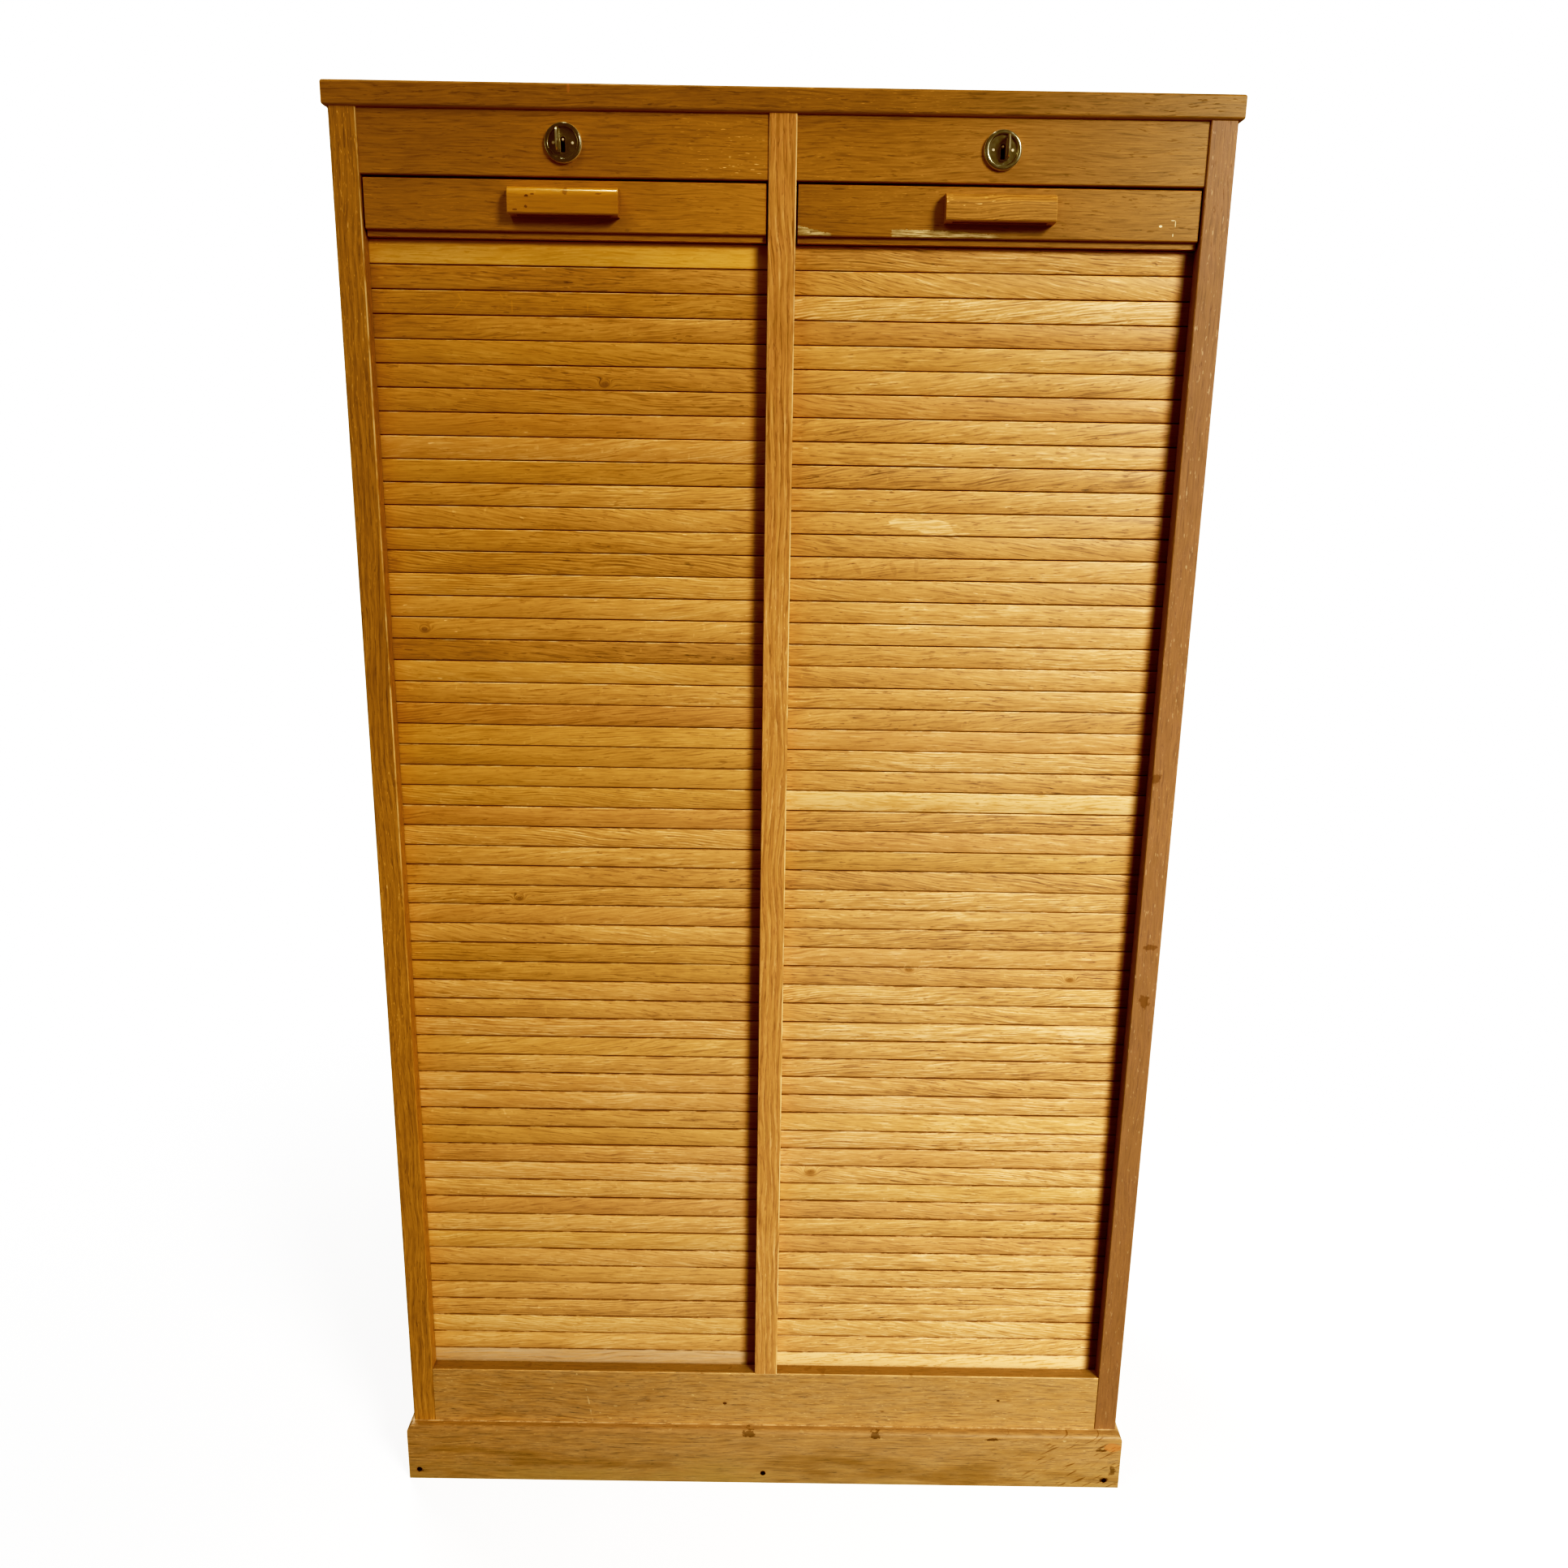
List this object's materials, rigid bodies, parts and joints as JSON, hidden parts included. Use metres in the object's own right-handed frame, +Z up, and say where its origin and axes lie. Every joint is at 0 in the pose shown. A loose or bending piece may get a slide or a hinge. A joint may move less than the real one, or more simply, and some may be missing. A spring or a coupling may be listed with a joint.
{
  "type": "tambour filing cabinet",
  "caption": "Free-standing oak filing cabinet: side-by-side columns closed by slatted tambours that pull down, each with a lead rail, wooden handle and keyed lock, on a plinth.",
  "frame": {"origin": "on the floor, under the middle of the whole cabinet", "axes": "+Z up, -Y out of the front, +X to the right as seen from the front"},
  "size_m": [0.952, 0.4362, 1.7035],
  "materials": {
    "oak": "satin varnish, honey oak",
    "oak_dark": "satin varnish, darker honey oak",
    "oak_slats": "satin varnish, slats of uneven tone",
    "plywood": "plain plywood, matt",
    "bronze": "aged dark bronze, rubbed bright on the rim",
    "flap_brass": "worn nickel-plated brass",
    "steel": "plain steel"
  },
  "bodies": {
    "carcass": {"back_panel": "plywood", "bottom_rail": "oak", "centre_front_post": "oak", "centre_partition": "oak", "front_plinth": "oak", "left_fascia": "oak", "left_floor_board": "oak", "left_front_post": "oak", "left_inner_back": "plywood", "left_lock_case": "steel", "left_lock_rosette": "bronze", "left_plinth": "oak", "left_rear_post": "oak", "left_shelves": "oak", "left_side_panels": "oak", "left_side_rails": "oak", "rear_plinth": "oak", "right_fascia": "oak", "right_floor_board": "oak", "right_front_post": "oak", "right_inner_back": "plywood", "right_lock_case": "steel", "right_lock_rosette": "bronze", "right_plinth": "oak", "right_rear_post": "oak", "right_shelves": "oak", "right_side_panels": "oak", "right_side_rails": "oak", "shelf_cleats": "oak", "top_board": "oak"},
    "left_tambour": {"left_lead_rail": "oak_dark", "left_handle": "oak_dark", "left_handle_screws": "steel", "left_staple": "steel"},
    "left_flap": {"left_lock_flap": "flap_brass"},
    "left_bolt": {"left_lock_bolt": "steel"},
    "left_slats_1": {"left_slats_1": "oak_slats"},
    "left_slats_2": {"left_slats_2": "oak_slats"},
    "left_slats_3": {"left_slats_3": "oak_slats"},
    "left_slats_4": {"left_slats_4": "oak_slats"},
    "left_slats_5": {"left_slats_5": "oak_slats"},
    "left_slats_6": {"left_slats_6": "oak_slats"},
    "left_slats_7": {"left_slats_7": "oak_slats"},
    "left_slats_8": {"left_slats_8": "oak_slats"},
    "right_tambour": {"right_lead_rail": "oak_dark", "right_handle": "oak_dark", "right_handle_screws": "steel", "right_staple": "steel"},
    "right_flap": {"right_lock_flap": "flap_brass"},
    "right_bolt": {"right_lock_bolt": "steel"},
    "right_slats_1": {"right_slats_1": "oak_slats"},
    "right_slats_2": {"right_slats_2": "oak_slats"},
    "right_slats_3": {"right_slats_3": "oak_slats"},
    "right_slats_4": {"right_slats_4": "oak_slats"},
    "right_slats_5": {"right_slats_5": "oak_slats"},
    "right_slats_6": {"right_slats_6": "oak_slats"},
    "right_slats_7": {"right_slats_7": "oak_slats"},
    "right_slats_8": {"right_slats_8": "oak_slats"}
  },
  "joints": [
    {"name": "left_tambour_slide", "type": "slide", "parent": "carcass", "child": "left_tambour", "axis": [0, 0, -1], "range_m": [0, 1.395]},
    {"name": "left_slats_1_slide", "type": "slide", "parent": "carcass", "child": "left_slats_1", "axis": [0, 0, -1], "range_m": [0, 1.3736], "deforming": ["left_slats_1"]},
    {"name": "left_slats_2_slide", "type": "slide", "parent": "carcass", "child": "left_slats_2", "axis": [0, 0, -1], "range_m": [0, 1.19825], "deforming": ["left_slats_2"]},
    {"name": "left_slats_3_slide", "type": "slide", "parent": "carcass", "child": "left_slats_3", "axis": [0, 0, -1], "range_m": [0, 1.0229], "deforming": ["left_slats_3"]},
    {"name": "left_slats_4_slide", "type": "slide", "parent": "carcass", "child": "left_slats_4", "axis": [0, 0, -1], "range_m": [0, 0.84755], "deforming": ["left_slats_4"]},
    {"name": "left_slats_5_slide", "type": "slide", "parent": "carcass", "child": "left_slats_5", "axis": [0, 0, -1], "range_m": [0, 0.6722], "deforming": ["left_slats_5"]},
    {"name": "left_slats_6_slide", "type": "slide", "parent": "carcass", "child": "left_slats_6", "axis": [0, 0, -1], "range_m": [0, 0.49685], "deforming": ["left_slats_6"]},
    {"name": "left_slats_7_slide", "type": "slide", "parent": "carcass", "child": "left_slats_7", "axis": [0, 0, -1], "range_m": [0, 0.3215], "deforming": ["left_slats_7"]},
    {"name": "left_slats_8_slide", "type": "slide", "parent": "carcass", "child": "left_slats_8", "axis": [0, 0, -1], "range_m": [0, 0.14615], "deforming": ["left_slats_8"]},
    {"name": "left_flap_turn", "type": "hinge", "parent": "carcass", "child": "left_flap", "pos_m": [-0.23262, -0.2036, 1.6475], "axis": [0, 0, 1], "range_deg": [0, 90]},
    {"name": "left_bolt_slide", "type": "slide", "parent": "carcass", "child": "left_bolt", "axis": [1, 0, 0], "range_m": [0, 0.008]},
    {"name": "right_tambour_slide", "type": "slide", "parent": "carcass", "child": "right_tambour", "axis": [0, 0, -1], "range_m": [0, 1.395]},
    {"name": "right_slats_1_slide", "type": "slide", "parent": "carcass", "child": "right_slats_1", "axis": [0, 0, -1], "range_m": [0, 1.3736], "deforming": ["right_slats_1"]},
    {"name": "right_slats_2_slide", "type": "slide", "parent": "carcass", "child": "right_slats_2", "axis": [0, 0, -1], "range_m": [0, 1.19825], "deforming": ["right_slats_2"]},
    {"name": "right_slats_3_slide", "type": "slide", "parent": "carcass", "child": "right_slats_3", "axis": [0, 0, -1], "range_m": [0, 1.0229], "deforming": ["right_slats_3"]},
    {"name": "right_slats_4_slide", "type": "slide", "parent": "carcass", "child": "right_slats_4", "axis": [0, 0, -1], "range_m": [0, 0.84755], "deforming": ["right_slats_4"]},
    {"name": "right_slats_5_slide", "type": "slide", "parent": "carcass", "child": "right_slats_5", "axis": [0, 0, -1], "range_m": [0, 0.6722], "deforming": ["right_slats_5"]},
    {"name": "right_slats_6_slide", "type": "slide", "parent": "carcass", "child": "right_slats_6", "axis": [0, 0, -1], "range_m": [0, 0.49685], "deforming": ["right_slats_6"]},
    {"name": "right_slats_7_slide", "type": "slide", "parent": "carcass", "child": "right_slats_7", "axis": [0, 0, -1], "range_m": [0, 0.3215], "deforming": ["right_slats_7"]},
    {"name": "right_slats_8_slide", "type": "slide", "parent": "carcass", "child": "right_slats_8", "axis": [0, 0, -1], "range_m": [0, 0.14615], "deforming": ["right_slats_8"]},
    {"name": "right_flap_turn", "type": "hinge", "parent": "carcass", "child": "right_flap", "pos_m": [0.23262, -0.2036, 1.6475], "axis": [0, 0, -1], "range_deg": [0, 90]},
    {"name": "right_bolt_slide", "type": "slide", "parent": "carcass", "child": "right_bolt", "axis": [1, 0, 0], "range_m": [0, 0.008]}
  ],
  "couplings": [
    {"joint": "left_slats_1_slide", "follows": "left_tambour_slide", "ratio": 0.98466},
    {"joint": "left_slats_2_slide", "follows": "left_tambour_slide", "ratio": 0.85896},
    {"joint": "left_slats_3_slide", "follows": "left_tambour_slide", "ratio": 0.73326},
    {"joint": "left_slats_4_slide", "follows": "left_tambour_slide", "ratio": 0.60756},
    {"joint": "left_slats_5_slide", "follows": "left_tambour_slide", "ratio": 0.48186},
    {"joint": "left_slats_6_slide", "follows": "left_tambour_slide", "ratio": 0.35617},
    {"joint": "left_slats_7_slide", "follows": "left_tambour_slide", "ratio": 0.23047},
    {"joint": "left_slats_8_slide", "follows": "left_tambour_slide", "ratio": 0.10477},
    {"joint": "right_slats_1_slide", "follows": "right_tambour_slide", "ratio": 0.98466},
    {"joint": "right_slats_2_slide", "follows": "right_tambour_slide", "ratio": 0.85896},
    {"joint": "right_slats_3_slide", "follows": "right_tambour_slide", "ratio": 0.73326},
    {"joint": "right_slats_4_slide", "follows": "right_tambour_slide", "ratio": 0.60756},
    {"joint": "right_slats_5_slide", "follows": "right_tambour_slide", "ratio": 0.48186},
    {"joint": "right_slats_6_slide", "follows": "right_tambour_slide", "ratio": 0.35617},
    {"joint": "right_slats_7_slide", "follows": "right_tambour_slide", "ratio": 0.23047},
    {"joint": "right_slats_8_slide", "follows": "right_tambour_slide", "ratio": 0.10477}
  ]
}
